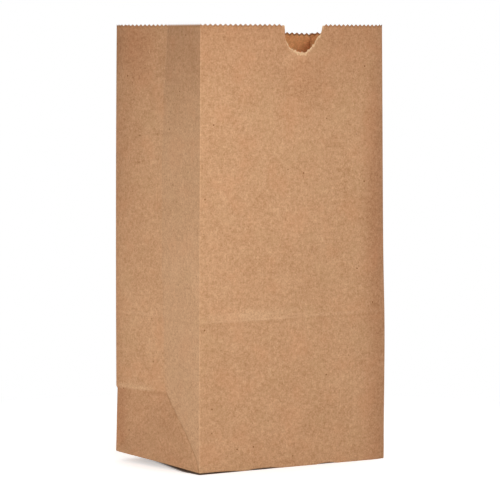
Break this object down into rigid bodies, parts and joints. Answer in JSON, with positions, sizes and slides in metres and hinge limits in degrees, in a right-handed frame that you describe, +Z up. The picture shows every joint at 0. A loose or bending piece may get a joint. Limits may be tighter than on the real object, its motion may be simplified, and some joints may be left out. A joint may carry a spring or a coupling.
{
  "type": "paper lunch bag",
  "caption": "upright flat-bottomed kraft paper bag with pleated sides, saw-cut mouth and a thumb notch, for carrying food",
  "frame": {"origin": "centre of the bag's outer box, at the table", "axes": "+Z up from the bottom to the mouth, the notched front wall faces -Y, the width runs along X"},
  "size_m": [0.1284, 0.0892, 0.2476],
  "materials": {
    "kraft_paper": "matte unbleached kraft"
  },
  "bodies": {
    "root": {"paper_bag": "kraft_paper"}
  },
  "joints": []
}
